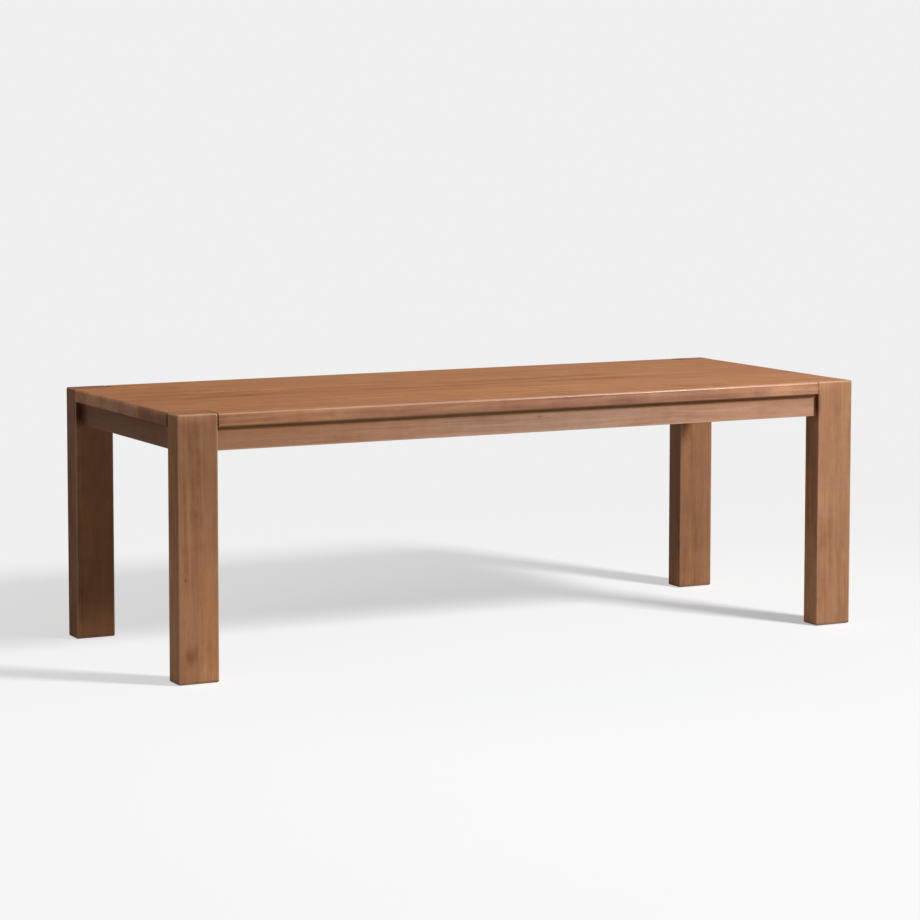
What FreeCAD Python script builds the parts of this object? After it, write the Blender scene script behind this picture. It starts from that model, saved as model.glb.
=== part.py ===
# Dining table with a fixed top: a slab of glued boards let in around four stout legs,
# on a bolted apron frame.
# Millimetres. The origin is on the floor under the middle of the top, X runs along the length,
# the front is at -Y and Z is up.
import FreeCAD, Part
import math
import os
import re
import Sketcher

sizes = {
    # Overall
    "table_length": 2286,
    "table_depth": 908,
    "table_height": 775,
    # Legs
    "leg_width": 125,
    "leg_depth": 76,
    "leg_edge_round": 6,
    "leg_top_round": 4.5,
    "leg_foot_bevel": 3,
    "leg_flat": 28,
    # Top
    "top_thickness": 38,
    "top_gap": 2.5,
    "top_edge_round": 8,
    "under_edge_round": 1,
    "board_count": 6,
    "edge_board_width": 150,
    # Aprons
    "apron_height": 71,
    "apron_thickness": 24,
    "long_setback": 18,
    "end_setback": 21,
    "apron_edge_round": 1.5,
    # Corner blocks and their screws
    "block_thickness": 30,
    "block_height": 54,
    "block_gap": 6,
    "block_seat": 12,
    "block_bite": 17,
    "block_screw_diameter": 4.5,
    "block_screw_spacing": 32,
    # Hanger bolts
    "bolt_diameter": 8,
    "bolt_spacing": 28,
    "bolt_bite": 50,
    "bolt_end": 5,
    "bolt_clearance": 1,
    "washer_diameter": 22,
    "washer_thickness": 1.6,
    "nut_width": 13,
    "nut_height": 6.5,
    # Cross rails, their dowels and screws
    "rail_count": 3,
    "rail_width": 64,
    "rail_height": 42,
    "rail_seat": 18,
    "rail_screw_diameter": 5,
    "rail_screw_play": 3,
    "rail_screw_bite": 22,
    "dowel_diameter": 10,
    "dowel_length": 28,
    "dowel_spacing": 36,
    # Clips that hold the top down
    "clip_width": 18,
    "clip_thickness": 2,
    "clip_drop": 10,
    "clip_tongue": 8,
    "clip_flange": 26,
    "clip_gap": 0.5,
    "clip_play": 0.6,
    "clip_screw_diameter": 4,
    "clip_screw_bite": 18,
    # Glides under the legs
    "glide_diameter": 30,
    "glide_height": 2,
    "glide_bevel": 1,
    "nail_diameter": 2.8,
    "nail_head_diameter": 8,
    "nail_head_height": 1.2,
    "nail_sink": 0.3,
    "nail_bite": 16,
    # Shared by the fasteners: the room round a shank, past its tip and round its head
    "shank_room": 0.2,
    "tip_room": 1,
    "head_room": 2,
    "head_share": 2,
    "head_height": 3,
}

doc = FreeCAD.newDocument("dining_table")
sheet = doc.addObject("Spreadsheet::Sheet", "Sizes")
for row, (alias, number) in enumerate(sizes.items(), start=1):
    sheet.set(f"A{row}", alias)
    sheet.set(f"B{row}", str(number))
    sheet.setAlias(f"B{row}", alias)
doc.recompute()

# Heights and depths that several pieces share
under_top = "(table_height - top_thickness)"
apron_foot = f"({under_top} - apron_height)"
apron_middle = f"({under_top} - apron_height / 2)"
long_back = "(long_setback + apron_thickness)"
end_back = "(end_setback + apron_thickness)"
rail_pitch = "((table_length - 2 * leg_width) / (rail_count + 1))"
inner_board_width = "((table_depth - 2 * edge_board_width) / (board_count - 2))"
clip_hole = "((clip_gap + clip_thickness + clip_flange) / 2)"
block_face = "(block_gap - leg_flat / 2)"
block_back = f"({block_face} + block_thickness)"

board_total = sizes["board_count"]
rail_total = sizes["rail_count"]
corners = {
    "front_left": (-1, -1),
    "front_right": (1, -1),
    "back_left": (-1, 1),
    "back_right": (1, 1),
}
parts = []


def formula(text):
    return re.sub("[a-z_]+", lambda word: f"Sizes.{word[0]}" if word[0] in sizes else word[0], text)


def value(text):
    return float(sheet.evalExpression(formula(text)))


def bind(item, field, text):
    item.setExpression(field, formula(text))


def facing(x, y, z):
    return FreeCAD.Rotation(FreeCAD.Vector(0, 0, 1), FreeCAD.Vector(x, y, z))


def turned(degrees):
    return FreeCAD.Rotation(FreeCAD.Vector(0, 0, 1), degrees)


def place(item, x="0", y="0", z="0", turn=FreeCAD.Rotation()):
    item.Placement = FreeCAD.Placement(FreeCAD.Vector(), turn)
    bind(item, "Placement.Base.x", x)
    bind(item, "Placement.Base.y", y)
    bind(item, "Placement.Base.z", z)


def new_body(label, z="0"):
    body = doc.addObject("PartDesign::Body", label)
    body.Label = label
    place(body, z=z)
    return body


def outline(body, name, role, points):
    """A closed outline of straight sides, with both coordinates of every corner bound to the sheet."""
    sketch = body.newObject("Sketcher::SketchObject", name)
    plane = next(item for item in body.Origin.OriginFeatures if item.Role == role)
    sketch.AttachmentSupport = (plane, [""])
    sketch.MapMode = "FlatFace"
    spots = [FreeCAD.Vector(value(across), value(up), 0) for across, up in points]
    count = len(spots)
    for index in range(count):
        sketch.addGeometry(Part.LineSegment(spots[index], spots[(index + 1) % count]), False)
    for index in range(count):
        sketch.addConstraint(Sketcher.Constraint("Coincident", index, 2, (index + 1) % count, 1))
    for index, (across, up) in enumerate(points):
        for kind, text, size in (("DistanceX", across, spots[index].x), ("DistanceY", up, spots[index].y)):
            rule = sketch.addConstraint(Sketcher.Constraint(kind, -1, 1, index, 1, size))
            bind(sketch, f"Constraints[{rule}]", text)
    return sketch


def pad(body, name, sketch, length, side="One side"):
    feature = body.newObject("PartDesign::Pad", name)
    feature.Profile = sketch
    feature.SideType = side
    bind(feature, "Length", length)
    doc.recompute()


def revolve(body, name, sketch):
    feature = body.newObject("PartDesign::Revolution", name)
    feature.Profile = sketch
    feature.ReferenceAxis = (sketch, ["V_Axis"])
    feature.Angle = 360
    doc.recompute()


def soften(body, kind, name, field, size, chosen):
    """Rounds (Fillet) or bevels (Chamfer) the edges of the body that the test picks out."""
    base = body.Tip
    names = [f"Edge{index}" for index, edge in enumerate(base.Shape.Edges, start=1) if chosen(edge.BoundBox)]
    feature = body.newObject(f"PartDesign::{kind}", name)
    feature.Base = (base, names)
    bind(feature, field, size)
    doc.recompute()


def bore(body, name, diameter, depth, x, y, z, turn=FreeCAD.Rotation()):
    """Takes a round hole out of the body, from its base point along the way it is turned."""
    before = body.Shape.Volume
    hole = body.newObject("PartDesign::SubtractiveCylinder", name)
    bind(hole, "Radius", f"({diameter}) / 2")
    bind(hole, "Height", depth)
    place(hole, x, y, z, turn)
    doc.recompute()
    if body.Shape.Volume >= before:
        raise RuntimeError(f"{body.Label}: {name} cuts nothing")


def same(first, second):
    return abs(first - second) < 0.01


def level(box, height):
    return same(box.ZMin, height) and same(box.ZMax, height)


def group(label, model, places):
    """One sub-part of equal pieces, each a copy of the model at its own place."""
    copies = []
    for index, (x, y, z, turn) in enumerate(places, start=1):
        copy = doc.addObject("App::Link", f"{label}_{index}")
        copy.LinkedObject = model
        place(copy, x, y, z, turn)
        copies.append(copy)
    whole = doc.addObject("Part::Compound", label)
    whole.Label = label
    whole.Links = copies
    parts.append(whole)


def screw(name, diameter, length):
    """A round-headed screw: its seat is at the origin, its head above and its shank below."""
    body = new_body(name)
    shank = f"{diameter} / 2"
    head = f"{diameter} * head_share / 2"
    profile = outline(body, f"{name}_profile", "XZ_Plane", [
        ("0", f"-({length})"),
        (shank, f"{diameter} - ({length})"),
        (shank, "0"),
        (head, "0"),
        (head, "head_height / 2"),
        (shank, "head_height"),
        ("0", "head_height"),
    ])
    revolve(body, f"{name}_turned", profile)
    return body


def inward(side_x, side_y, along):
    """A point in plan on the diagonal through a leg's inner corner, measured inwards from that corner."""
    return (
        f"{side_x} * (table_length / 2 - leg_width - sqrt(0.5) * ({along}))",
        f"{side_y} * (table_depth / 2 - leg_depth - sqrt(0.5) * ({along}))",
    )


def block_end(along, apron_back):
    """How far from the table's outer face a block's face, set along the diagonal, meets an apron."""
    return f"(leg_width + leg_depth - {apron_back} + sqrt(2) * {along})"


def pairs(middle, spacing):
    return [f"{middle} - {spacing} / 2", f"{middle} + {spacing} / 2"]


def board_edge(index):
    """The front edge of a board, counted from the front, or the back edge of the last."""
    if index == 0:
        return "(-table_depth / 2)"
    if index == board_total:
        return "(table_depth / 2)"
    return f"(edge_board_width - table_depth / 2 + {index - 1} * {inner_board_width})"


def board_middle(index):
    return f"(({board_edge(index)} + {board_edge(index + 1)}) / 2)"


rail_places = [f"({index - (rail_total - 1) / 2} * {rail_pitch})" for index in range(rail_total)]
bay_places = [f"({index - rail_total / 2} * {rail_pitch})" for index in range(rail_total + 1)]

# Every clip: the apron face that it stands on, its turn about Z, its screw, and the board that this enters
clips = []
for side, turn, board in ((-1, 90, 0), (1, -90, board_total - 1)):
    for x in bay_places:
        face = f"{side} * (table_depth / 2 - {long_back})"
        hole = f"{side} * (table_depth / 2 - {long_back} - {clip_hole})"
        clips.append({"foot": (x, face), "turn": turn, "screw": (x, hole), "board": board})
for side, turn in ((-1, 0), (1, 180)):
    for board in (1, board_total - 2):
        face = f"{side} * (table_length / 2 - {end_back})"
        hole = f"{side} * (table_length / 2 - {end_back} - {clip_hole})"
        y = board_middle(board)
        clips.append({"foot": (face, y), "turn": turn, "screw": (hole, y), "board": board})


def top_board(index):
    """One board of the top. The two edge boards are cut out at both ends for the legs."""
    label = f"top_board_{index + 1}"
    body = new_body(label, under_top)
    front, back = board_edge(index), board_edge(index + 1)
    end = "table_length / 2"
    if index in (0, board_total - 1):
        side = -1 if index == 0 else 1
        outer, inner = (front, back) if index == 0 else (back, front)
        shoulder = f"{side} * (table_depth / 2 - leg_depth - top_gap)"
        notch = "(table_length / 2 - leg_width - top_gap)"
        points = [
            (f"-{notch}", outer), (notch, outer), (notch, shoulder), (end, shoulder),
            (end, inner), (f"-{end}", inner), (f"-{end}", shoulder), (f"-{notch}", shoulder),
        ]
    else:
        points = [(f"-{end}", front), (end, front), (end, back), (f"-{end}", back)]
    pad(body, f"{label}_slab", outline(body, f"{label}_plan", "XY_Plane", points), "top_thickness")

    def on_rim(box):
        at_end = same(box.XMin, box.XMax) and same(abs(box.XMin), value(end))
        at_side = same(box.YMin, box.YMax) and same(abs(box.YMin), value("table_depth / 2"))
        return at_end or at_side

    thickness = value("top_thickness")
    soften(body, "Fillet", f"{label}_upper_edge", "Radius", "top_edge_round",
           lambda box: on_rim(box) and level(box, thickness))
    soften(body, "Fillet", f"{label}_lower_edge", "Radius", "under_edge_round",
           lambda box: on_rim(box) and level(box, 0))
    for number, x in enumerate(rail_places, start=1):
        bore(body, f"{label}_rail_screw_{number}", "rail_screw_diameter + shank_room",
             "rail_screw_bite + tip_room", x, board_middle(index), "0")
    for number, clip in enumerate(clips, start=1):
        if clip["board"] == index:
            bore(body, f"{label}_clip_screw_{number}", "clip_screw_diameter + shank_room",
                 "clip_screw_bite + tip_room", *clip["screw"], "0")
    parts.append(body)


def leg(corner, side_x, side_y):
    """A post with eased arrises. A flat on its inner corner, behind the aprons, takes two hanger bolts."""
    label = f"leg_{corner}"
    body = new_body(label, "glide_height")
    outer_x, inner_x = f"{side_x} * table_length / 2", f"{side_x} * (table_length / 2 - leg_width)"
    outer_y, inner_y = f"{side_y} * table_depth / 2", f"{side_y} * (table_depth / 2 - leg_depth)"
    plan = outline(body, f"{label}_plan", "XY_Plane",
                   [(outer_x, outer_y), (inner_x, outer_y), (inner_x, inner_y), (outer_x, inner_y)])
    pad(body, f"{label}_post", plan, "table_height - glide_height")
    height = value("table_height - glide_height")
    soften(body, "Fillet", f"{label}_arrises", "Radius", "leg_edge_round",
           lambda box: same(box.ZLength, height))
    soften(body, "Fillet", f"{label}_top_edge", "Radius", "min(leg_top_round; leg_edge_round * 0.8)",
           lambda box: level(box, height))
    soften(body, "Chamfer", f"{label}_foot", "Size", "min(leg_foot_bevel; leg_edge_round)",
           lambda box: level(box, 0))

    angle = math.degrees(math.atan2(-side_y, -side_x))
    flat = body.newObject("PartDesign::SubtractiveBox", f"{label}_flat")
    bind(flat, "Length", "leg_flat")
    bind(flat, "Width", "2 * leg_flat")
    bind(flat, "Height", "apron_height")
    x, y = inward(side_x, side_y, "-leg_flat / 2")
    place(flat, f"{x} - {side_y} * sqrt(0.5) * leg_flat", f"{y} + {side_x} * sqrt(0.5) * leg_flat",
          f"{apron_foot} - glide_height", turned(angle))
    doc.recompute()
    x, y = inward(side_x, side_y, "-leg_flat / 2 - bolt_bite - tip_room")
    for number, z in enumerate(pairs(f"{apron_middle} - glide_height", "bolt_spacing"), start=1):
        bore(body, f"{label}_bolt_{number}", "bolt_diameter + shank_room", "bolt_bite + tip_room + leg_flat",
             x, y, z, facing(-side_x, -side_y, 0))
    bore(body, f"{label}_nail", "nail_diameter + shank_room", "nail_bite + tip_room",
         f"({outer_x} + {inner_x}) / 2", f"({outer_y} + {inner_y}) / 2", "0")
    parts.append(body)


def apron(label, role, side, reach, setback, length):
    """A rail under the top, with a groove along its inner face for the clips."""
    body = new_body(label, apron_foot)
    outer = f"{side} * ({reach} - {setback})"
    inner = f"{side} * ({reach} - {setback} - apron_thickness)"
    groove = f"{side} * ({reach} - {setback} - apron_thickness + clip_tongue + tip_room)"
    roof = "apron_height - clip_drop"
    floor = f"{roof} - clip_thickness - clip_play"
    section = outline(body, f"{label}_section", role, [
        (outer, "0"), (outer, "apron_height"), (inner, "apron_height"), (inner, roof),
        (groove, roof), (groove, floor), (inner, floor), (inner, "0"),
    ])
    pad(body, f"{label}_length", section, length, "Symmetric")
    soften(body, "Fillet", f"{label}_lower_edge", "Radius", "apron_edge_round",
           lambda box: level(box, 0) and max(box.XLength, box.YLength) > value(length) / 2)
    parts.append(body)
    return body


def corner_block(corner, side_x, side_y, long_apron, end_apron):
    """A brace across the corner, screwed to both aprons and bored for the leg's bolts."""
    label = f"corner_block_{corner}"
    body = new_body(label, f"{apron_middle} - block_height / 2")
    long_ends = [block_end(block_face, long_back), block_end(block_back, long_back)]
    end_ends = [block_end(block_face, end_back), block_end(block_back, end_back)]
    across_x = [f"{side_x} * (table_length / 2 - {end})" for end in long_ends]
    across_y = [f"{side_y} * (table_depth / 2 - {end})" for end in end_ends]
    back_x = f"{side_x} * (table_length / 2 - {end_back})"
    back_y = f"{side_y} * (table_depth / 2 - {long_back})"
    plan = outline(body, f"{label}_plan", "XY_Plane", [
        (across_x[0], back_y), (across_x[1], back_y), (back_x, across_y[1]), (back_x, across_y[0]),
    ])
    pad(body, f"{label}_brace", plan, "block_height")
    x, y = inward(side_x, side_y, f"{block_face} - tip_room")
    for number, z in enumerate(pairs("block_height / 2", "bolt_spacing"), start=1):
        bore(body, f"{label}_bolt_{number}", "bolt_diameter + bolt_clearance",
             "block_thickness + 2 * tip_room", x, y, z, facing(-side_x, -side_y, 0))

    # Two screws into each apron: from the block's inner face, square to the apron, with the heads let in
    run = f"({across_x[0]} + {across_x[1]}) / 2"
    rise = f"({across_y[0]} + {across_y[1]}) / 2"
    seats = [
        (long_apron, run, back_y, run, f"{back_y} - {side_y} * block_seat", facing(0, -side_y, 0)),
        (end_apron, back_x, rise, f"{back_x} - {side_x} * block_seat", rise, facing(-side_x, 0, 0)),
    ]
    for board, face_x, face_y, seat_x, seat_y, turn in seats:
        for number, z in enumerate(pairs("block_height / 2", "block_screw_spacing"), start=1):
            name = f"{label}_{board.Label}_{number}"
            bore(body, f"{name}_shank", "block_screw_diameter + shank_room", "block_thickness",
                 face_x, face_y, z, turn)
            bore(body, f"{name}_head", "block_screw_diameter * head_share + head_room", "block_thickness",
                 seat_x, seat_y, z, turn)
        for number, z in enumerate(pairs("apron_height / 2", "block_screw_spacing"), start=1):
            depth = "(block_bite + tip_room)"
            way = turn.multVec(FreeCAD.Vector(0, 0, 1))
            bore(board, f"{label}_pilot_{number}", "block_screw_diameter + shank_room", depth,
                 f"{face_x} - {round(way.x)} * {depth}", f"{face_y} - {round(way.y)} * {depth}", z, turn)
        block_screws.extend((seat_x, seat_y, z, turn) for z in pairs(apron_middle, "block_screw_spacing"))
    parts.append(body)


def cross_rail(number, x, long_aprons):
    """A rail under the boards from apron to apron, with dowelled ends and roomy holes for screws."""
    label = f"cross_rail_{number}"
    body = new_body(label, f"{under_top} - rail_height")
    left, right = f"{x} - rail_width / 2", f"{x} + rail_width / 2"
    front, back = (f"{side} * (table_depth / 2 - {long_back})" for side in (-1, 1))
    plan = outline(body, f"{label}_plan", "XY_Plane",
                   [(left, front), (right, front), (right, back), (left, back)])
    pad(body, f"{label}_bar", plan, "rail_height")
    half = "dowel_length / 2 + tip_room / 2"
    for side, board in zip((-1, 1), long_aprons):
        face = f"{side} * (table_depth / 2 - {long_back})"
        tip = f"{face} + {side} * dowel_length / 2"
        for spot, dowel_x in enumerate(pairs(x, "dowel_spacing"), start=1):
            height = "rail_height / 2"
            bore(body, f"{label}_{board.Label}_dowel_{spot}", "dowel_diameter + shank_room", half,
                 dowel_x, face, height, facing(0, -side, 0))
            bore(board, f"{label}_dowel_{spot}", "dowel_diameter + shank_room", half,
                 dowel_x, face, "apron_height - rail_height / 2", facing(0, side, 0))
            rail_dowels.append((dowel_x, tip, f"{under_top} - rail_height / 2", facing(0, -side, 0)))
    for index in range(board_total):
        y = board_middle(index)
        bore(body, f"{label}_screw_{index + 1}", "rail_screw_diameter + rail_screw_play", "rail_height",
             x, y, "0")
        bore(body, f"{label}_screw_{index + 1}_head", "rail_screw_diameter * head_share + head_room",
             "rail_height - rail_seat", x, y, "0")
        rail_screws.append((x, y, f"{under_top} - rail_seat", facing(0, 0, -1)))
    parts.append(body)


def glide(corner, side_x, side_y):
    """A nylon disc under the leg, with a hollow for the head of its nail."""
    label = f"glide_{corner}"
    body = new_body(label)
    rim, hole = "glide_diameter / 2", "(nail_diameter + shank_room) / 2"
    head = "nail_head_diameter / 2 + shank_room"
    hollow = "nail_sink + nail_head_height"
    profile = outline(body, f"{label}_profile", "XZ_Plane", [
        (hole, "glide_height"), (rim, "glide_height"), (rim, "glide_bevel"), (f"{rim} - glide_bevel", "0"),
        (head, "0"), (head, hollow), (hole, hollow),
    ])
    revolve(body, f"{label}_turned", profile)
    x = f"{side_x} * (table_length - leg_width) / 2"
    y = f"{side_y} * (table_depth - leg_depth) / 2"
    place(body, x, y)
    glide_nails.append((x, y, "0", FreeCAD.Rotation()))
    parts.append(body)


block_screws, rail_dowels, rail_screws, glide_nails = [], [], [], []

for index in range(board_total):
    top_board(index)
for corner, (side_x, side_y) in corners.items():
    leg(corner, side_x, side_y)

long_reach, end_reach = "table_depth / 2", "table_length / 2"
long_run, end_run = "table_length - 2 * leg_width", "table_depth - 2 * leg_depth"
aprons = {
    "front": apron("front_apron", "YZ_Plane", -1, long_reach, "long_setback", long_run),
    "back": apron("back_apron", "YZ_Plane", 1, long_reach, "long_setback", long_run),
    "left": apron("left_apron", "XZ_Plane", -1, end_reach, "end_setback", end_run),
    "right": apron("right_apron", "XZ_Plane", 1, end_reach, "end_setback", end_run),
}
for corner, (side_x, side_y) in corners.items():
    long_name, end_name = corner.split("_")
    corner_block(corner, side_x, side_y, aprons[long_name], aprons[end_name])
for number, x in enumerate(rail_places, start=1):
    cross_rail(number, x, (aprons["front"], aprons["back"]))
for corner, (side_x, side_y) in corners.items():
    glide(corner, side_x, side_y)

# Hanger bolts: pointed at the leg's end, bevelled at the nut's end, drawn along Z from the tip
bolt = new_body("hanger_bolt")
bolt_length = f"(bolt_bite + leg_flat / 2 + {block_back} + washer_thickness + nut_height + bolt_end)"
bolt_profile = outline(bolt, "hanger_bolt_profile", "XZ_Plane", [
    ("0", "0"), ("bolt_diameter / 2", "bolt_diameter"),
    ("bolt_diameter / 2", f"{bolt_length} - bolt_diameter / 8"),
    ("bolt_diameter * 3 / 8", bolt_length), ("0", bolt_length),
])
revolve(bolt, "hanger_bolt_turned", bolt_profile)

washer = new_body("bolt_washer")
washer_profile = outline(washer, "bolt_washer_profile", "XZ_Plane", [
    ("(bolt_diameter + shank_room) / 2", "0"), ("washer_diameter / 2", "0"),
    ("washer_diameter / 2", "washer_thickness"), ("(bolt_diameter + shank_room) / 2", "washer_thickness"),
])
revolve(washer, "bolt_washer_turned", washer_profile)

nut = new_body("bolt_nut")
nut_corners = [(math.cos(math.radians(60 * turn)), math.sin(math.radians(60 * turn))) for turn in range(6)]
nut_plan = outline(nut, "bolt_nut_plan", "XY_Plane", [
    (f"{x:.6f} * nut_width / sqrt(3)", f"{y:.6f} * nut_width / sqrt(3)") for x, y in nut_corners
])
pad(nut, "bolt_nut_hexagon", nut_plan, "nut_height")
bore(nut, "bolt_nut_thread", "bolt_diameter + shank_room", "nut_height", "0", "0", "0")

bolt_tips, washer_feet, nut_feet = [], [], []
for side_x, side_y in corners.values():
    for z in pairs(apron_middle, "bolt_spacing"):
        turn = facing(-side_x, -side_y, 0)
        bolt_tips.append((*inward(side_x, side_y, "-leg_flat / 2 - bolt_bite"), z, turn))
        washer_feet.append((*inward(side_x, side_y, block_back), z, turn))
        nut_feet.append((*inward(side_x, side_y, f"{block_back} + washer_thickness"), z, turn))
group("hanger_bolts", bolt, bolt_tips)
group("bolt_washers", washer, washer_feet)
group("bolt_nuts", nut, nut_feet)

dowel = new_body("rail_dowel")
dowel_bevel = "dowel_diameter / 10"
dowel_profile = outline(dowel, "rail_dowel_profile", "XZ_Plane", [
    ("0", "0"), (f"dowel_diameter / 2 - {dowel_bevel}", "0"), ("dowel_diameter / 2", dowel_bevel),
    ("dowel_diameter / 2", f"dowel_length - {dowel_bevel}"),
    (f"dowel_diameter / 2 - {dowel_bevel}", "dowel_length"), ("0", "dowel_length"),
])
revolve(dowel, "rail_dowel_turned", dowel_profile)
group("rail_dowels", dowel, rail_dowels)

group("block_screws", screw("block_screw", "block_screw_diameter", "block_seat + block_bite"), block_screws)
group("rail_screws", screw("rail_screw", "rail_screw_diameter", "rail_seat + rail_screw_bite"), rail_screws)
group("clip_screws", screw("clip_screw", "clip_screw_diameter", "clip_thickness + clip_screw_bite"),
      [(*clip["screw"], f"{under_top} - clip_thickness", facing(0, 0, -1)) for clip in clips])

# Clips: a tongue in the apron's groove, a step up and a flange flat under the top
clip_model = new_body("top_clip")
clip_foot = "-clip_drop - clip_thickness"
clip_section = outline(clip_model, "top_clip_section", "XZ_Plane", [
    ("-clip_tongue", clip_foot), ("clip_gap + clip_thickness", clip_foot),
    ("clip_gap + clip_thickness", "-clip_thickness"), ("clip_flange", "-clip_thickness"),
    ("clip_flange", "0"), ("clip_gap", "0"), ("clip_gap", "-clip_drop"), ("-clip_tongue", "-clip_drop"),
])
pad(clip_model, "top_clip_strip", clip_section, "clip_width", "Symmetric")
bore(clip_model, "top_clip_hole", "clip_screw_diameter + shank_room", "clip_thickness",
     clip_hole, "0", "-clip_thickness")
group("top_clips", clip_model, [(*clip["foot"], under_top, turned(clip["turn"])) for clip in clips])

# Nails of the glides: a flat head in the glide's hollow and a pointed shank up into the leg
nail = new_body("glide_nail")
nail_top = "(glide_height + nail_bite)"
nail_profile = outline(nail, "glide_nail_profile", "XZ_Plane", [
    ("0", "nail_sink"), ("nail_head_diameter / 2", "nail_sink"),
    ("nail_head_diameter / 2", "nail_sink + nail_head_height"),
    ("nail_diameter / 2", "nail_sink + nail_head_height"),
    ("nail_diameter / 2", f"{nail_top} - nail_diameter"), ("0", nail_top),
])
revolve(nail, "glide_nail_turned", nail_profile)
group("glide_nails", nail, glide_nails)

doc.recompute()
for item in doc.Objects:
    if "Invalid" in item.State or "Error" in item.State:
        raise RuntimeError(f"{item.Label} failed: {item.State}")
for item in parts:
    if item.Shape.isNull() or not item.Shape.isValid() or not item.Shape.Solids:
        raise RuntimeError(f"{item.Label} has no valid solid")

os.makedirs("parts", exist_ok=True)
for item in parts:
    item.Shape.exportStep(f"parts/{item.Label}.step")
    print(f"{item.Label}: {len(item.Shape.Solids)} solid(s), {item.Shape.Volume / 1000:.1f} cm3")
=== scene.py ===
import math

import bpy
from mathutils import Matrix, Vector


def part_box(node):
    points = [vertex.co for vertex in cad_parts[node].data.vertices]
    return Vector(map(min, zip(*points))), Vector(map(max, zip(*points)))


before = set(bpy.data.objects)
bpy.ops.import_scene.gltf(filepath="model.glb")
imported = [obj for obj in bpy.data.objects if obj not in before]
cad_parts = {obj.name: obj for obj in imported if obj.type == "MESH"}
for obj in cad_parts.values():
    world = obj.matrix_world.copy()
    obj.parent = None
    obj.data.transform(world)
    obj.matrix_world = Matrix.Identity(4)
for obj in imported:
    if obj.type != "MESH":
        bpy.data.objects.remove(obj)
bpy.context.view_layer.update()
bpy.ops.object.select_all(action="DESELECT")
print("frame loaded with", len(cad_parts), "pieces")


def shade(red, green, blue):  # a colour as a picker shows it, 0 to 255, made linear
    linear = [((c / 255 + 0.055) / 1.055) ** 2.4 if c > 10 else c / 3294.6 for c in (red, green, blue)]
    return (*linear, 1.0)


def grey(value):
    return (value, value, value, 1.0)


# shader helpers: each takes sockets or plain values and gives back the socket to go on with
def feed(mat, socket, value):
    if isinstance(value, bpy.types.NodeSocket):
        mat.node_tree.links.new(value, socket)
    elif value is not None:
        socket.default_value = value


def addNode(mat, kind, **settings):
    node = mat.node_tree.nodes.new("ShaderNode" + kind)
    for key, value in settings.items():
        setattr(node, key, value)
    return node


def setInputs(node, values):
    for key, value in values.items():
        node.inputs[key].default_value = value


def reckon(mat, operation, a, b=None, c=None):
    node = addNode(mat, "Math", operation=operation)
    for socket, value in zip(node.inputs, (a, b, c)):
        feed(mat, socket, value)
    return node.outputs[0]


def reckonVector(mat, operation, a, b=None, c=None, out="Vector"):
    node = addNode(mat, "VectorMath", operation=operation)
    for socket, value in zip(node.inputs, (a, b, c)):
        feed(mat, socket, value)
    return node.outputs[out]


def measure(mat, operation, a, b=None):  # length, distance or dot product
    return reckonVector(mat, operation, a, b, out="Value")


def scaled(mat, vector, factor):
    node = addNode(mat, "VectorMath", operation="SCALE")
    feed(mat, node.inputs["Vector"], vector)
    feed(mat, node.inputs["Scale"], factor)
    return node.outputs["Vector"]


def moved(mat, vector, location=(0, 0, 0), rotation=(0, 0, 0), scale=(1, 1, 1)):
    node = addNode(mat, "Mapping")
    feed(mat, node.inputs["Vector"], vector)
    setInputs(node, {"Location": location, "Rotation": rotation, "Scale": scale})
    return node.outputs["Vector"]


def cloud(mat, vector, stretch, detail, roughness, out="Fac"):  # stretch is per metre, one for each axis
    node = addNode(mat, "TexNoise")
    feed(mat, node.inputs["Vector"], moved(mat, vector, scale=stretch))
    setInputs(node, {"Scale": 1.0, "Detail": detail, "Roughness": roughness})
    return node.outputs[out]


def bands(mat, distance, rate, detail, roughness):  # uneven bands along one distance
    node = addNode(mat, "TexNoise", noise_dimensions="1D")
    feed(mat, node.inputs["W"], distance)
    setInputs(node, {"Scale": rate, "Detail": detail, "Roughness": roughness})
    return node.outputs["Fac"]


def fade(mat, value, start, end, low=0.0, high=1.0):  # soft step from low to high
    node = addNode(mat, "MapRange", interpolation_type="SMOOTHSTEP")
    feed(mat, node.inputs["Value"], value)
    setInputs(node, {"From Min": start, "From Max": end, "To Min": low, "To Max": high})
    return node.outputs["Result"]


def swing(mat, layer, middle, spread):  # a value that a noise layer moves about its middle
    return reckon(mat, "MULTIPLY_ADD", layer, spread, middle - spread / 2)


def blendColour(mat, factor, a, b, how="MIX"):
    node = addNode(mat, "Mix", data_type="RGBA", blend_type=how)
    for key, value in (("Factor_Float", factor), ("A_Color", a), ("B_Color", b)):
        feed(mat, next(s for s in node.inputs if s.identifier == key), value)
    return next(s for s in node.outputs if s.identifier == "Result_Color")


def addBump(mat, shader, height, strength, depth):
    bump = addNode(mat, "Bump")
    setInputs(bump, {"Strength": strength, "Distance": depth})
    feed(mat, bump.inputs["Height"], height)
    feed(mat, shader.inputs["Normal"], bump.outputs["Normal"])


def newMaterial(name):
    mat = bpy.data.materials.new(name)
    mat.use_nodes = True
    mat.node_tree.nodes.clear()
    shader = addNode(mat, "BsdfPrincipled")
    output = addNode(mat, "OutputMaterial")
    mat.node_tree.links.new(shader.outputs["BSDF"], output.inputs["Surface"])
    return mat, shader


def dress(names, mat):
    for name in names:
        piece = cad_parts[name]
        piece.data.materials.clear()
        piece.data.materials.append(mat)


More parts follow.
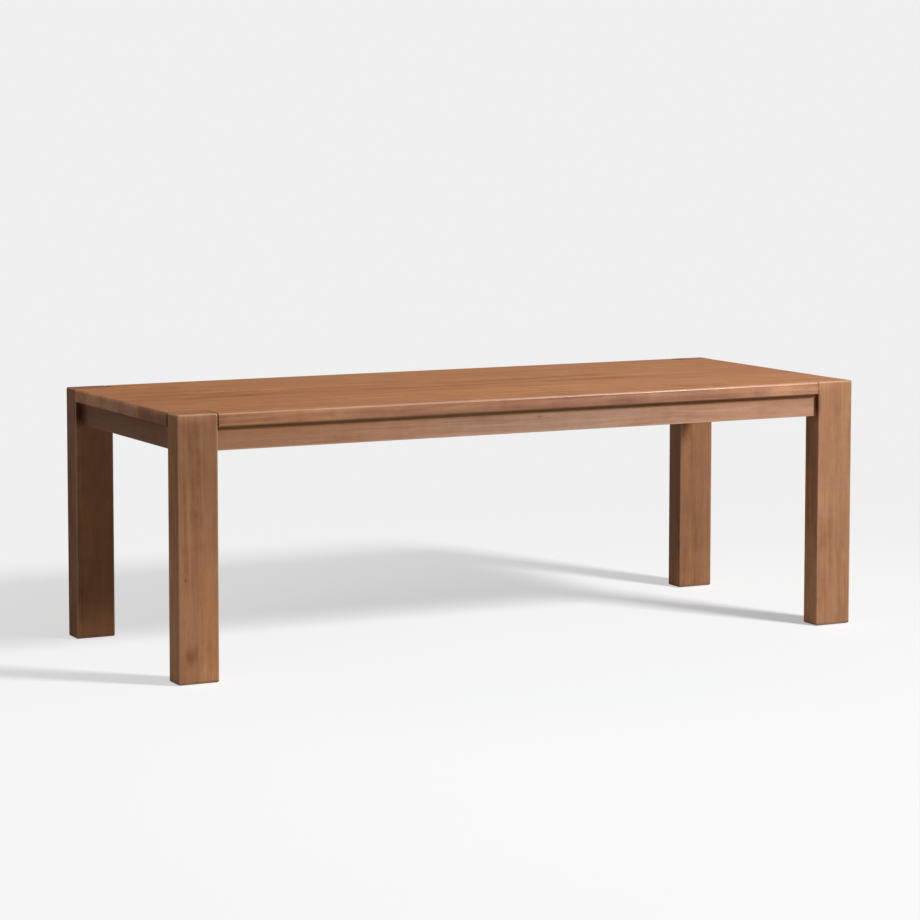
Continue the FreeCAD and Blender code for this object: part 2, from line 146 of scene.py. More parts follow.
# wood: growth rings round a heart line beside the piece, bent along the grain, with fibres and pores
stainedWood = {
    "dark": shade(132, 84, 50), "middle": shade(168, 115, 75), "light": shade(190, 138, 94),
    "pink": shade(168, 117, 86), "heart": shade(116, 74, 48), "knot": shade(74, 44, 28),
    # the pale colour of rubbed edges is real wear and also a painted highlight along the rounded arrises
    "endGrain": shade(190, 138, 106), "wearAndHighlight": shade(206, 160, 124),
    "figure": {"rings": 0.28, "broad": 0.24, "ribbons": 0.34, "fibres": 0.30, "mottle": 0.24, "ripple": 0.14},
    "stops": (0.33, 0.50, 0.67), "bend": 0.022, "pinkDepth": 0.70, "hairDepth": 0.20, "poreDepth": 0.28,
    "endDepth": 0.50, "arcs": 0.16, "specks": 0.30, "spotBlur": 1.3, "haloSize": 2.4, "haloDepth": 0.55,
    "rubAndHighlight": 0.70, "rubReach": 0.0075, "rubFull": 0.0012, "rubPatches": (0.45, 0.95),
    "rubShine": 1.0, "endShine": 0.06, "rubRoughness": 0.22, "rubIor": 1.8,
    "roughness": 0.74, "roughSpread": 0.16, "endRoughness": 0.06, "gloss": 0.05,
    "rise": {"hairs": 0.5, "pores": -0.8, "fibres": 0.4}, "relief": 0.35, "reliefDepth": 0.0004,
}
# each noise layer's stretch along and across the grain, its detail and its roughness
grainLayers = {
    "sway": ((0.9, 4.5, 4.5), 2.0, 0.5), "drift": ((1.3, 7, 7), 2.0, 0.5),
    "ribbons": ((2.8, 75, 75), 3.0, 0.55), "fibres": ((3.2, 240, 240), 3.0, 0.6),
    "hairs": ((14, 1100, 1100), 2.0, 0.6), "pores": ((42, 1500, 1500), 1.0, 0.5),
    "mottle": ((7, 24, 24), 3.0, 0.55), "ripple": ((26, 9, 9), 2.0, 0.5),
    "specks": ((6, 620, 620), 2.0, 0.6), "blur": ((16, 40, 40), 3.0, 0.6), "patches": ((9, 9, 9), 3.0, 0.6),
}
ringBands = {"rings": (95.0, 3.0, 0.6), "broad": (20.9, 1.0, 0.5)}  # bands per metre, detail, roughness
# where each soft step starts and ends
grainSteps = {
    "drift": (0.38, 0.64), "hairs": (0.35, 0.70), "pores": (0.63, 0.70), "cutEnd": (0.70, 0.98),
    "arcs": (0.40, 0.64), "specks": (0.52, 0.64), "patches": (0.30, 0.66), "sides": (0.50, 0.90),
}
spotEdge, spotCore = 1.0, 0.15  # a spot is gone at its full reach and whole within this share of it

turns = {"X": (0, 0, 0), "Y": (0, 0, -math.pi / 2), "Z": (0, math.pi / 2, 0)}  # brings the grain to x
ends = {"X": (1, 0, 0), "Y": (0, 1, 0), "Z": (0, 0, 1)}


def centred(mat, vector, layer):  # three noises that swing about 0
    return reckonVector(mat, "SUBTRACT", cloud(mat, vector, *grainLayers[layer], "Color"), (0.5, 0.5, 0.5))


def layered(mat, layers, weights, total):  # adds up layers by their weights
    for layer, weight in weights.items():
        total = reckon(mat, "MULTIPLY_ADD", layers[layer], weight, total)
    return total


def softSpot(mat, place, middle, reach, blur=(0, 0, 0)):  # 1 inside an egg of that reach, 0 outside it
    offset = reckonVector(mat, "SUBTRACT", place, middle)
    offset = reckonVector(mat, "DIVIDE", offset, reach)
    offset = reckonVector(mat, "ADD", offset, blur)
    return fade(mat, measure(mat, "LENGTH", offset), spotEdge, spotCore)


def edgeDistance(mat, place, low, high):  # how far a point of a box's skin is from the nearest arris
    middle, half = (low + high) / 2, (high - low) / 2
    inside = reckonVector(mat, "ABSOLUTE", reckonVector(mat, "SUBTRACT", place, middle))
    split = addNode(mat, "SeparateXYZ")
    feed(mat, split.inputs[0], reckonVector(mat, "SUBTRACT", half, inside))
    x, y, z = split.outputs
    lower = reckon(mat, "MINIMUM", x, y)
    upper = reckon(mat, "MAXIMUM", x, y)
    return reckon(mat, "MAXIMUM", lower, reckon(mat, "MINIMUM", upper, z))


def growGrain(mat, wood, grain, plank, place, middle):  # all the noise layers of one plank
    turn = Matrix.Rotation(turns[grain][2], 3, "Z") @ Matrix.Rotation(turns[grain][1], 3, "Y")
    start = Vector((plank["seed"], *plank["heart"])) - turn @ middle
    along = moved(mat, place, start, turns[grain])
    sideways = 2 * wood["bend"]  # the noise goes half of this each way
    bent = reckonVector(mat, "MULTIPLY_ADD", centred(mat, along, "sway"), (0, sideways, sideways), along)
    fromHeart = measure(mat, "LENGTH", reckonVector(mat, "MULTIPLY", bent, (0, 1, 1)))
    layers = {name: bands(mat, fromHeart, *ringBands[name]) for name in ringBands}
    for name in ("ribbons", "fibres", "hairs", "pores", "mottle", "ripple", "specks"):
        layers[name] = cloud(mat, bent, *grainLayers[name])
    layers["pores"] = fade(mat, layers["pores"], *grainSteps["pores"])
    layers["drift"] = cloud(mat, along, *grainLayers["drift"])
    layers["blur"] = scaled(mat, centred(mat, bent, "blur"), wood["spotBlur"])
    return layers


def grainColour(mat, wood, tone, layers):  # dark to light, each layer swinging about its own middle
    figure = layered(mat, layers, wood["figure"], tone + 0.5 - sum(wood["figure"].values()) / 2)
    ramp = addNode(mat, "ValToRGB")
    feed(mat, ramp.inputs["Fac"], figure)
    stops, (first, centre, last) = ramp.color_ramp.elements, wood["stops"]
    stops[0].position, stops[0].color = first, wood["dark"]
    stops[1].position, stops[1].color = last, wood["light"]
    stops.new(centre).color = wood["middle"]
    pinker = fade(mat, layers["drift"], *grainSteps["drift"], 0.0, wood["pinkDepth"])
    colour = blendColour(mat, pinker, ramp.outputs["Color"], wood["pink"])
    darker = fade(mat, layers["hairs"], *grainSteps["hairs"], 0.0, wood["hairDepth"])
    colour = blendColour(mat, darker, colour, wood["heart"])
    return blendColour(mat, reckon(mat, "MULTIPLY", layers["pores"], wood["poreDepth"]), colour, wood["knot"])


def endColour(mat, wood, colour, cutEnd, layers):  # cut ends are stained differently and show rings and pores
    colour = blendColour(mat, reckon(mat, "MULTIPLY", cutEnd, wood["endDepth"]), colour, wood["endGrain"])
    arcs = fade(mat, layers["rings"], *grainSteps["arcs"], 0.0, wood["arcs"])
    specks = fade(mat, layers["specks"], *grainSteps["specks"], 0.0, wood["specks"])
    marks = reckon(mat, "MULTIPLY", cutEnd, reckon(mat, "MAXIMUM", arcs, specks))
    return blendColour(mat, marks, colour, wood["heart"])


def tinted(mat, colour, place, spots, blur=(0, 0, 0)):
    for spot, reach, tint in spots:
        colour = blendColour(mat, softSpot(mat, place, spot, reach, blur), colour, (*tint, 1), "MULTIPLY")
    return colour


def knotted(mat, wood, colour, place, knots, blur):
    for spot, reach, depth in knots:
        halo = softSpot(mat, place, spot, [r * wood["haloSize"] for r in reach], blur)
        halo = reckon(mat, "MULTIPLY", halo, depth * wood["haloDepth"])
        colour = blendColour(mat, halo, colour, wood["heart"])
        core = reckon(mat, "MULTIPLY", softSpot(mat, place, spot, reach, blur), depth)
        colour = blendColour(mat, core, colour, wood["knot"])
    return colour


def woodFinish(name, wood, grain, plank, low, high, shared=()):  # low, high: the box whose edges are rubbed paler, partly real wear and partly a painted highlight
    mat, shader = newMaterial(name)
    place = addNode(mat, "TexCoord").outputs["Object"]
    normal = addNode(mat, "TexCoord").outputs["Normal"]
    layers = growGrain(mat, wood, grain, plank, place, (low + high) / 2)
    cutEnd = reckon(mat, "ABSOLUTE", measure(mat, "DOT_PRODUCT", normal, ends[grain]))
    cutEnd = fade(mat, cutEnd, *grainSteps["cutEnd"])

    colour = grainColour(mat, wood, plank.get("tone", 0.0), layers)
    colour = endColour(mat, wood, colour, cutEnd, layers)
    colour = tinted(mat, colour, place, plank.get("streaks", ()), layers["blur"])
    colour = knotted(mat, wood, colour, place, plank.get("knots", ()), layers["blur"])
    # many corner and shared tints are painted shade and painted light: shadows, dark hollows and brighter lit
    # faces
    colour = tinted(mat, colour, place, [*plank.get("corners", ()), *shared])  # sharper than the streaks

    # handled edges are rubbed paler, which is real wear and also a painted highlight along the rounded
    # arrises; those along the long sides are rubbed to a shine
    rubAndHighlight = fade(mat, edgeDistance(mat, place, low, high), wood["rubReach"], wood["rubFull"])
    patches = cloud(mat, place, *grainLayers["patches"])
    patches = fade(mat, patches, *grainSteps["patches"], *wood["rubPatches"])
    paleWearAndHighlight = reckon(mat, "MULTIPLY", reckon(mat, "MULTIPLY", rubAndHighlight, patches), plank.get("rubAndHighlight", wood["rubAndHighlight"]))
    feed(mat, shader.inputs["Base Color"], blendColour(mat, paleWearAndHighlight, colour, wood["wearAndHighlight"]))
    onSide = reckon(mat, "ABSOLUTE", measure(mat, "DOT_PRODUCT", normal, (0, 1, 0)))
    shine = fade(mat, onSide, *grainSteps["sides"], wood["endShine"], wood["rubShine"])
    shine = reckon(mat, "MULTIPLY", rubAndHighlight, shine)
    for spot, reach, loss in plank.get("dulled", ()):
        lost = reckon(mat, "MULTIPLY", softSpot(mat, place, spot, reach), loss)
        shine = reckon(mat, "MULTIPLY", shine, reckon(mat, "SUBTRACT", 1.0, lost))
    feed(mat, shader.inputs["Coat Weight"], shine)

    dull = swing(mat, layers["fibres"], wood["roughness"], wood["roughSpread"])
    dull = reckon(mat, "MULTIPLY_ADD", cutEnd, wood["endRoughness"], dull)
    feed(mat, shader.inputs["Roughness"], dull)
    setInputs(shader, {"Specular IOR Level": wood["gloss"], "Coat Roughness": wood["rubRoughness"],
                       "Coat IOR": wood["rubIor"]})
    addBump(mat, shader, layered(mat, layers, wood["rise"], 0.0), wood["relief"], wood["reliefDepth"])
    return mat


# the top: six boards, each from its own plank
# a streak or corner is a place, its reach along x, y and z, and what it multiplies the colour by
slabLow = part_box("top_board_1")[0]
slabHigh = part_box("top_board_6")[1]
left, front, under = slabLow
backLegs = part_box("leg_back_left")[0].y  # front face of the back legs
midSlab = under + 0.019  # half way up the slab's edge
frontDepth, endReach = 0.040, (0.012, 0.120, 0.080)  # how far the tints of its edges go


def boardFront(x, reach, height, tint):  # on the long front edge
    return (x, front, midSlab), (reach, frontDepth, height), tint


def endShadeAndLight(y, tint):  # painted shade and painted light across the sawn left end, y from the front edge
    return (left, front + y, midSlab), endReach, tint


topBoards = {
    "top_board_1": {
        "seed": 0.7, "heart": (0.020, 0.170), "tone": 0.00,
        "streaks": [
            boardFront(0.00, 1.60, 0.070, (0.86, 0.90, 1.20)),
            boardFront(-0.75, 0.45, 0.070, (1.12, 1.20, 1.28)),
            boardFront(1.05, 0.55, 0.080, (1.11, 1.24, 1.44)),
            boardFront(0.36, 0.62, 0.070, (0.88, 0.91, 1.03)),
            boardFront(-0.69, 0.09, 0.060, (1.14, 1.16, 1.08)),
            boardFront(-0.20, 0.14, 0.060, (1.06, 1.12, 1.07)),
            endShadeAndLight(0.117, (0.68, 0.74, 0.88)),
        ],
        "corners": [
            ((0.00, front, under - 0.0025), (4.00, 0.060, 0.0055), (0.50, 0.44, 0.40)),  # painted shade on the lower arris
            # painted light on the upper part of the front edge, below the rounding
            ((0.00, front - 0.002, under + 0.027), (4.00, 0.009, 0.024), (1.24, 1.22, 1.18)),
            ((left, -backLegs - 0.004, midSlab), (0.030, 0.022, 0.100), (0.52, 0.46, 0.44)),  # painted shade in the gap by the near leg
        ],
        "dulled": [((-0.05, front, under + 0.036), (0.90, 0.060, 0.060), 0.60)],  # the last is lost shine
    },
    "top_board_2": {"seed": 4.1, "heart": (-0.060, 0.140), "tone": 0.02,
                    "streaks": [endShadeAndLight(0.227, (0.64, 0.70, 0.82))]},
    "top_board_3": {"seed": 8.3, "heart": (0.045, -0.190), "tone": -0.02,
                    "streaks": [endShadeAndLight(0.377, (1.23, 1.32, 1.70))]},
    "top_board_4": {"seed": 12.9, "heart": (-0.015, 0.230), "tone": 0.01,
                    "streaks": [endShadeAndLight(0.537, (1.52, 1.61, 1.95))]},
    "top_board_5": {"seed": 17.2, "heart": (0.070, 0.150), "tone": -0.01,
                    "streaks": [endShadeAndLight(0.687, (1.60, 1.77, 1.83))]},
    "top_board_6": {"seed": 21.6, "heart": (-0.030, -0.160), "tone": 0.01,
                    "streaks": [endShadeAndLight(0.817, (1.35, 1.40, 1.45))]},
}
allBoards = [
    ((left, 0.00, slabHigh.z + 0.004), (1.40, 1.20, 0.016), (0.99, 0.90, 0.81)),  # warmer at the left
    ((left - 0.004, -0.22, slabHigh.z + 0.002), (0.014, 0.400, 0.030), (1.46, 1.40, 1.32)),  # painted light on the left arris
]
untouched = slabLow - Vector((0.006, 0, 0.03))  # the lower and left edges are hardly rubbed
for name, plank in topBoards.items():
    dress([name], woodFinish("stained_" + name, stainedWood, "X", plank, untouched, slabHigh, allBoards))
print("top boards stained")

# the legs: stout posts with upright grain; small knots and a dark ribbon sit on the front left one
legWood = dict(
    stainedWood, dark=shade(128, 85, 56), middle=shade(165, 117, 80), light=shade(186, 137, 97),
    pink=shade(165, 118, 86), rubShine=0.55, arcs=0.60, specks=0.55,
    figure={"rings": 0.18, "broad": 0.22, "ribbons": 0.28, "fibres": 0.26, "mottle": 0.44, "ripple": 0.12})
niche = under - 0.034  # middle height of the hollow that the set-back aprons leave beside a leg
inner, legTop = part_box("leg_front_right")[0].x, slabHigh.z  # inner face of the right legs
legs = {
    "leg_front_left": {
        "seed": 27.4, "heart": (0.150, 0.060), "tone": 0.02, "rubAndHighlight": 0.40,
        "knots": [  # a knot's last number is its depth
            ((left + 0.033, front, 0.080), (0.016, 0.030, 0.020), 0.24),
            ((left + 0.022, front, 0.303), (0.003, 0.030, 0.005), 0.50),
            ((left + 0.055, front, 0.490), (0.012, 0.030, 0.019), 0.18),
        ],
        "streaks": [
            ((left + 0.047, front, 0.650), (0.036, 0.060, 0.230), (0.80, 0.78, 0.80)),
            ((left + 0.055, front, 0.478), (0.026, 0.060, 0.090), (0.84, 0.83, 0.84)),
            ((left + 0.092, front, 0.203), (0.042, 0.060, 0.300), (1.14, 1.12, 1.08)),
            ((left + 0.013, front, 0.254), (0.022, 0.060, 0.320), (1.10, 1.08, 1.04)),
            ((left + 0.036, front, 0.086), (0.026, 0.060, 0.050), (0.84, 0.82, 0.84)),
            ((left + 0.092, front, 0.030), (0.070, 0.060, 0.110), (1.16, 1.17, 1.18)),
        ],
        "corners": [
            # painted light from the floor, brighter towards the foot
            ((left + 0.060, front, 0.000), (0.300, 0.300, 0.760), (1.36, 1.35, 1.34)),
            # painted light on the left side, cool and brighter low down
            ((left, front + 0.040, 0.100), (0.008, 0.200, 0.560), (1.08, 1.11, 1.19)),
            # painted shade over the front face
            ((left + 0.060, front, 0.400), (0.300, 0.020, 1.200), (0.94, 0.94, 0.97)),
            # painted highlight below the rounded top edge, in two soft bands
            ((left + 0.015, front, legTop), (0.130, 0.020, 0.034), (1.33, 1.34, 1.38)),
            ((left + 0.060, front, legTop + 0.015), (0.300, 0.020, 0.050), (1.12, 1.14, 1.18)),
            ((left + 0.060, front + 0.045, legTop + 0.002), (0.300, 0.060, 0.006), (0.80, 0.76, 0.72)),
        ],
    },
    "leg_front_right": {
        "seed": 6.8, "heart": (-0.120, 0.090), "tone": 0.01, "rubAndHighlight": 0.40,
        "streaks": [((-left, front, 0.300), (0.300, 0.300, 1.600), (1.02, 1.08, 1.20))],
        "corners": [
            # painted light from the floor, brighter towards the foot
            ((-left, front, 0.000), (0.300, 0.300, 0.380), (1.08, 1.07, 1.06)),
            # painted highlight below the rounded top edge
            ((inner + 0.010, front, legTop), (0.110, 0.020, 0.032), (1.26, 1.26, 1.26)),
            # painted light on the inner side face
            ((inner, 0.000, 0.250), (0.008, 1.000, 0.900), (1.08, 1.07, 1.05)),
            # painted shade in the hollow beside the set-back apron
            ((inner, front + 0.009, niche), (0.012, 0.030, 0.070), (0.28, 0.18, 0.13)),
            # painted light on the inner face seen through the gap beside the slab
            ((inner, front + 0.003, under + 0.022), (0.006, 0.014, 0.032), (1.60, 1.55, 1.50)),
        ],
    },
    "leg_back_left": {
        "seed": 11.4, "heart": (0.100, -0.110), "tone": -0.02, "rubAndHighlight": 0.15,
        "corners": [
            # painted shade on the outer side face, cooler in colour
            ((left, -front, 0.380), (0.010, 0.200, 1.200), (0.86, 0.85, 1.00)),
            # painted shade on the front face, under the table
            ((0.000, backLegs, 0.250), (2.500, 0.008, 0.900), (0.92, 0.89, 0.88)),
            # painted shade in the hollow beside the set-back apron
            ((left + 0.013, backLegs, niche), (0.026, 0.012, 0.060), (0.34, 0.26, 0.18)),
            ((left + 0.060, -front, legTop + 0.002), (0.300, 0.300, 0.007), (0.62, 0.54, 0.52)),
        ],
    },
    "leg_back_right": {
        "seed": 15.9, "heart": (-0.140, -0.050), "tone": -0.03, "rubAndHighlight": 0.30,
        "corners": [
            ((-left, -front, 0.300), (0.300, 0.300, 1.600), (0.90, 0.92, 0.98)),
            # painted shade on the inner side face, cooler in colour
            ((inner, 0.000, 0.300), (0.008, 1.000, 1.200), (0.83, 0.92, 1.03)),
            ((inner + 0.015, -front, legTop + 0.002), (0.050, 0.120, 0.007), (0.44, 0.36, 0.32)),
            # painted light from the floor on the front face near the foot
            ((-left - 0.050, backLegs, 0.020), (0.300, 0.300, 0.150), (1.12, 1.13, 1.10)),
        ],
    },
}
footShade = [((0.0, 0.0, 0.0), (9.0, 9.0, 0.012), (0.38, 0.33, 0.30))]  # painted shade darkens the feet's lowest edge, where the contact shadow falls
for name, post in legs.items():
    low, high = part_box(name)
    dress([name], woodFinish("stained_" + name, legWood, "Z", post, low, high, footShade))
print("legs stained")

# the aprons: narrow rails under the top, a pinker cut of the same wood, the front one with a pin knot
apronWood = dict(
    stainedWood, dark=shade(144, 102, 74), middle=shade(176, 133, 104), light=shade(197, 153, 122),
    pink=shade(176, 135, 112), heart=shade(130, 90, 66), rubAndHighlight=0.35, rubReach=0.0055,
    figure={"rings": 0.18, "broad": 0.22, "ribbons": 0.26, "fibres": 0.26, "mottle": 0.24, "ripple": 0.12})
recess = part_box("front_apron")[0].y
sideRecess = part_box("left_apron")[0].x
aprons = {
    "front_apron": {
        "grain": "X", "seed": 3.6, "heart": (0.090, 0.070), "tone": 0.00,
        "knots": [((0.030, recess, under - 0.023), (0.010, 0.020, 0.006), 0.35)],
        "streaks": [
            ((0.00, recess, niche), (2.40, 0.060, 0.200), (1.02, 1.03, 1.08)),
            ((-0.90, recess, niche), (0.60, 0.060, 0.160), (1.00, 0.90, 0.74)),
            ((0.15, recess, niche), (0.55, 0.060, 0.160), (1.00, 1.06, 1.12)),
            ((0.85, recess, niche), (0.60, 0.060, 0.160), (1.03, 1.03, 1.03)),
        ],
        "corners": [  # painted shadow under the slab's overhang, deeper towards the right, and painted shade in the hollow beside the leg
            ((0.00, recess, under + 0.005), (4.00, 0.060, 0.030), (0.98, 0.87, 0.46)),
            ((0.60, recess, under + 0.005), (1.30, 0.060, 0.030), (0.66, 0.54, 0.46)),
            ((inner + 0.002, recess, niche), (0.014, 0.030, 0.070), (0.50, 0.42, 0.36)),
        ],
    },
    "back_apron": {"grain": "X", "seed": 9.7, "heart": (-0.080, 0.060), "tone": 0.00},
    "left_apron": {
        "grain": "Y", "seed": 14.2, "heart": (0.085, 0.050), "tone": -0.05, "rubAndHighlight": 0.05,
        "corners": [
            # painted shade over the whole end rail, which stands in shade under the slab
            ((sideRecess, 0.00, niche), (0.100, 2.000, 0.400), (0.75, 0.70, 0.67)),
            # painted shade in the hollow by the back leg
            ((sideRecess, backLegs + 0.005, niche), (0.030, 0.075, 0.090), (0.42, 0.34, 0.28)),
            # painted light along the top of the rail, under the slab's edge
            ((sideRecess, 0.26, under + 0.002), (0.030, 0.270, 0.022), (1.60, 1.52, 1.44)),
        ],
    },
    "right_apron": {"grain": "Y", "seed": 19.8, "heart": (-0.095, 0.080), "tone": -0.06},
}
for name, rail in aprons.items():
    low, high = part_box(name)
    dress([name], woodFinish("stained_" + name, apronWood, rail["grain"], rail, low, high))
print("aprons stained")

# hidden bracing: paler wood that was sealed but not stained, its grain from front to back
sealedWood = dict(
    stainedWood, dark=shade(158, 118, 80), middle=shade(188, 148, 106), light=shade(206, 170, 128),
    pink=shade(190, 146, 112), heart=shade(140, 100, 66), endGrain=shade(170, 128, 88),
    wearAndHighlight=shade(214, 180, 140), roughness=0.80, gloss=0.04)
bracing = {
    "cross_rail_1": {"seed": 1.9, "heart": (0.060, 0.050)},
    "cross_rail_2": {"seed": 5.5, "heart": (-0.070, 0.060)},
    "cross_rail_3": {"seed": 10.6, "heart": (0.080, -0.050)},
    "corner_block_front_left": {"seed": 13.3, "heart": (0.090, 0.040)},
    "corner_block_front_right": {"seed": 16.7, "heart": (-0.060, 0.060)},
    "corner_block_back_left": {"seed": 18.1, "heart": (0.070, -0.070)},
    "corner_block_back_right": {"seed": 22.4, "heart": (-0.080, -0.040)},
    "rail_dowels": {"seed": 24.8, "heart": (0.050, 0.050)},
}
for name, brace in bracing.items():
    low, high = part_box(name)
    dress([name], woodFinish("sealed_" + name, sealedWood, "Y", brace, low, high))
print("bracing sealed")


def smoothFinish(name, look):  # metal or plastic: paler patches in the colour, fine marks in gloss and relief
    mat, shader = newMaterial(name)
    place = addNode(mat, "TexCoord").outputs["Object"]
    patches = fade(mat, cloud(mat, place, *look["patches"]), *look["patchStep"], 0.0, look["patchDepth"])
    marks = cloud(mat, place, *look["marks"])
    feed(mat, shader.inputs["Base Color"], blendColour(mat, patches, look["body"], look["paleWearAndHighlight"]))
    feed(mat, shader.inputs["Roughness"], swing(mat, marks, look["roughness"], look["roughSpread"]))
    shader.inputs["Metallic"].default_value = look["metallic"]
    addBump(mat, shader, marks, look["relief"], look["reliefDepth"])
    return mat


# zinc plated fasteners, with a bloom and fine scratches
zinc = {
    "body": shade(150, 153, 158), "paleWearAndHighlight": shade(196, 198, 200), "metallic": 1.0,
    "patches": ((160, 160, 160), 3.0, 0.6), "patchStep": (0.35, 0.65), "patchDepth": 1.0,
    "marks": ((900, 900, 60), 2.0, 0.5), "roughness": 0.34, "roughSpread": 0.20,
    "relief": 0.15, "reliefDepth": 0.0002,
}
dress(["hanger_bolts", "bolt_washers", "bolt_nuts", "block_screws", "rail_screws", "clip_screws", "top_clips",
       "glide_nails"], smoothFinish("zinc_plated_steel", zinc))
print("fasteners plated")

# brown nylon glides, scuffed
nylon = {
    "body": shade(88, 66, 50), "paleWearAndHighlight": shade(128, 108, 92), "metallic": 0.0,
    "patches": ((240, 900, 240), 4.0, 0.65), "patchStep": (0.48, 0.72), "patchDepth": 0.8,
    "marks": ((240, 900, 240), 4.0, 0.65), "roughness": 0.48, "roughSpread": 0.20,
    "relief": 0.20, "reliefDepth": 0.0002,
}
dress(["glide_front_left", "glide_front_right", "glide_back_left", "glide_back_right"],
      smoothFinish("brown_nylon", nylon))
print("glides moulded")

# studio: a key lamp, three soft panels, and a pale floor that keeps its tone and the table's shadow
studio = {
    "floorSize": 60.0, "backdrop": 0.866, "ambient": 0.04, "bounceGrey": 0.66,
    "pool": 0.952, "poolMiddle": (0.6, -2.6, 0.0), "poolFrom": 5.2, "poolTo": 1.0,
    "shadowGrey": 0.76, "shadowFrom": 6.0, "shadowTo": 3.2,
    "warmth": (0.032, 0.018, 0.007), "warmReach": (1.9, 1.5, 1.0), "warmMiddle": (0, -0.25, 0),
    "warmFrom": 1.0, "warmTo": 0.35,
}
lamps = {
    "key_lamp": {"place": (2.8, -3.9, 3.5), "aim": (0.0, 0.0, 0.6), "size": 0.9, "power": 270.0},
    "overhead_panel": {"place": (0.3, 0.0, 3.8), "aim": (0.3, 0.0, 0.0), "size": 5.5, "power": 86.0},
    "left_panel": {"place": (-5.0, -1.9, 1.3), "aim": (0.0, 0.0, 0.4), "size": 2.5, "power": 20.0},
    "back_panel": {"place": (-2.2, 4.8, 2.6), "aim": (0.0, 0.0, 0.5), "size": 2.5, "power": 55.0},
}


def seenRays(mat):  # camera, mirror and glass rays see the pale studio; other rays only carry light
    path = addNode(mat, "LightPath")
    seen = reckon(mat, "MAXIMUM", path.outputs["Is Camera Ray"], path.outputs["Is Glossy Ray"])
    return reckon(mat, "MAXIMUM", seen, path.outputs["Is Transmission Ray"])


def layShader(mat, factor, a, b):
    node = addNode(mat, "MixShader")
    for socket, value in zip(node.inputs, (factor, a, b)):
        feed(mat, socket, value)
    return node.outputs[0]


def keyLight(mat, place):  # what the key lamp and the room give the open floor, by distance and both angles
    key = lamps["key_lamp"]
    lampPlace, lampAim = Vector(key["place"]), Vector(key["aim"])
    toLamp = reckonVector(mat, "SUBTRACT", lampPlace, place)
    reach = measure(mat, "LENGTH", toLamp)
    toLamp = reckonVector(mat, "NORMALIZE", toLamp)
    light = measure(mat, "DOT_PRODUCT", toLamp, (lampPlace - lampAim).normalized())
    light = reckon(mat, "MULTIPLY", light, measure(mat, "DOT_PRODUCT", toLamp, (0, 0, 1)))
    light = reckon(mat, "DIVIDE", reckon(mat, "MAXIMUM", light, 0.0), reckon(mat, "MULTIPLY", reach, reach))
    return reckon(mat, "MULTIPLY_ADD", light, key["power"] / math.pi ** 2, studio["ambient"])


def floorFinish():
    mat = bpy.data.materials.new("studio_floor")
    mat.use_nodes = True
    mat.node_tree.nodes.clear()
    place = addNode(mat, "TexCoord").outputs["Object"]

    # what the open floor gets from the lamps is taken off its glow, so only the shadow is left to see
    fromTable = measure(mat, "LENGTH", place)
    catch = fade(mat, fromTable, studio["shadowFrom"], studio["shadowTo"], 0.0, studio["shadowGrey"])
    fromPool = measure(mat, "DISTANCE", place, studio["poolMiddle"])
    tone = fade(mat, fromPool, studio["poolFrom"], studio["poolTo"], studio["backdrop"], studio["pool"])
    tone = reckon(mat, "SUBTRACT", tone, reckon(mat, "MULTIPLY", keyLight(mat, place), catch))

    # so is the warm light that comes off the wood
    nearTable = reckonVector(mat, "DIVIDE", place, studio["warmReach"])
    nearTable = measure(mat, "DISTANCE", nearTable, studio["warmMiddle"])
    warm = scaled(mat, studio["warmth"], fade(mat, nearTable, studio["warmFrom"], studio["warmTo"]))
    tone = reckonVector(mat, "SUBTRACT", tone, warm)

    catcher = addNode(mat, "BsdfDiffuse")
    feed(mat, catcher.inputs["Color"], catch)
    glow = addNode(mat, "Emission")
    feed(mat, glow.inputs["Color"], tone)
    seen = addNode(mat, "AddShader")
    feed(mat, seen.inputs[0], catcher.outputs[0])
    feed(mat, seen.inputs[1], glow.outputs[0])
    bounce = addNode(mat, "BsdfDiffuse")
    bounce.inputs["Color"].default_value = grey(studio["bounceGrey"])
    lit = layShader(mat, seenRays(mat), bounce.outputs[0], seen.outputs[0])
    below = addNode(mat, "NewGeometry").outputs["Backfacing"]  # seen through from below
    lit = layShader(mat, below, lit, addNode(mat, "BsdfTransparent").outputs[0])
    feed(mat, addNode(mat, "OutputMaterial").inputs["Surface"], lit)
    return mat


bpy.ops.mesh.primitive_plane_add(size=studio["floorSize"], location=(0, 0, 0))
floor = bpy.context.object
floor.name = "studio_floor"
floor.data.materials.append(floorFinish())

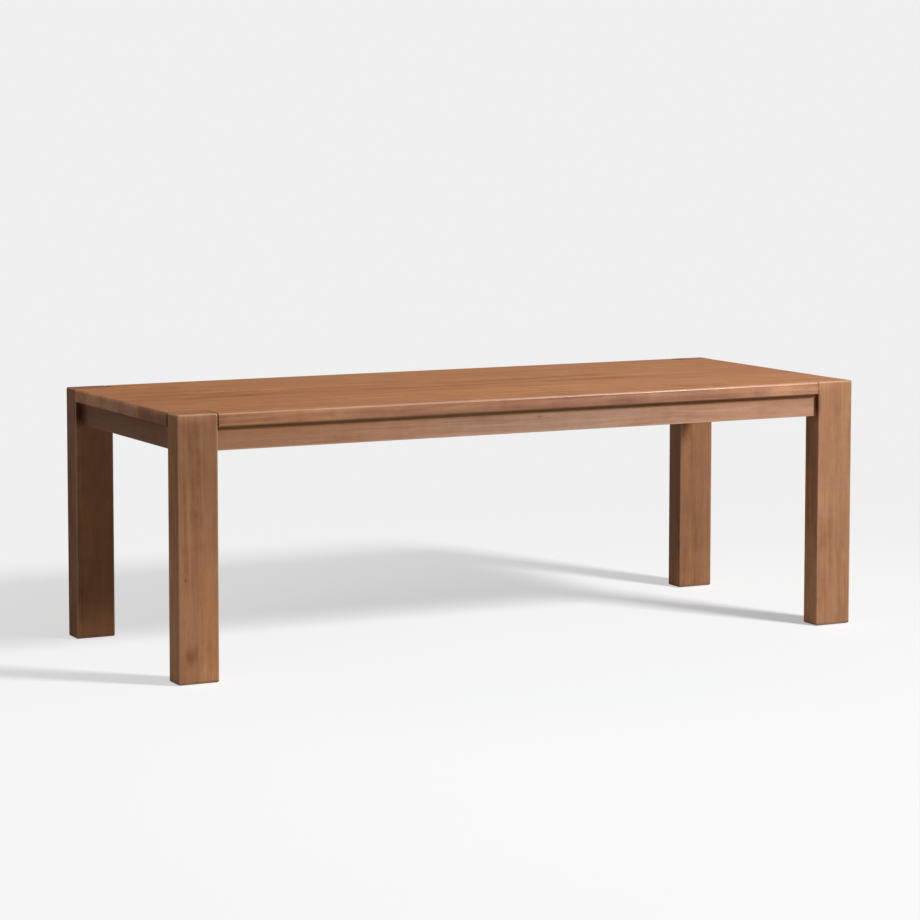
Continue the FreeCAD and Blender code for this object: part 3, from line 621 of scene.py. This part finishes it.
world = bpy.data.worlds.new("studio_room")
bpy.context.scene.world = world
world.use_nodes = True
world.node_tree.nodes.clear()
soft = addNode(world, "Background")
soft.inputs["Color"].default_value = grey(studio["ambient"])
pale = addNode(world, "Background")
pale.inputs["Color"].default_value = grey(studio["backdrop"])
room = layShader(world, seenRays(world), soft.outputs[0], pale.outputs[0])
feed(world, addNode(world, "OutputWorld").inputs["Surface"], room)

for name, lamp in lamps.items():
    aim = Vector(lamp["aim"]) - Vector(lamp["place"])
    facing = aim.to_track_quat("-Z", "Y").to_euler()
    bpy.ops.object.light_add(type="AREA", location=lamp["place"], rotation=facing)
    light = bpy.context.object
    light.name = name
    light.visible_camera = False
    light.data.shape = "SQUARE"
    light.data.size = lamp["size"]
    light.data.energy = lamp["power"]

# the panels light the table only, so the floor keeps one clean shadow
unlit = bpy.data.collections.new("away_from_panels")
unlit.objects.link(floor)
unlit.collection_objects[0].light_linking.link_state = "EXCLUDE"
for name in ("overhead_panel", "left_panel", "back_panel"):
    bpy.data.objects[name].light_linking.receiver_collection = unlit
print("studio lit")

# the camera stands where the photograph was taken from
view = {"place": (-4.4243, -8.5920, 1.7245), "yaw": 27.173, "pitch": 5.363, "roll": 0.042,
        "lens": 122.034, "sensor": 36.0, "shiftDown": 0.0978}
yaw, pitch, roll = (math.radians(view[key]) for key in ("yaw", "pitch", "roll"))
ahead = Vector((math.sin(yaw) * math.cos(pitch), math.cos(yaw) * math.cos(pitch), -math.sin(pitch)))
level = Vector((math.cos(yaw), -math.sin(yaw), 0))
upright = level.cross(ahead)
right = level * math.cos(roll) + upright * math.sin(roll)
upright = upright * math.cos(roll) - level * math.sin(roll)
bpy.ops.object.camera_add(location=view["place"])
camera = bpy.context.object
camera.rotation_euler = Matrix((right, upright, -ahead)).transposed().to_euler()
camera.data.sensor_width = view["sensor"]
camera.data.lens = view["lens"]
camera.data.shift_y = -view["shiftDown"]
bpy.context.scene.camera = camera
bpy.context.scene.view_settings.view_transform = "Standard"
print("camera placed")
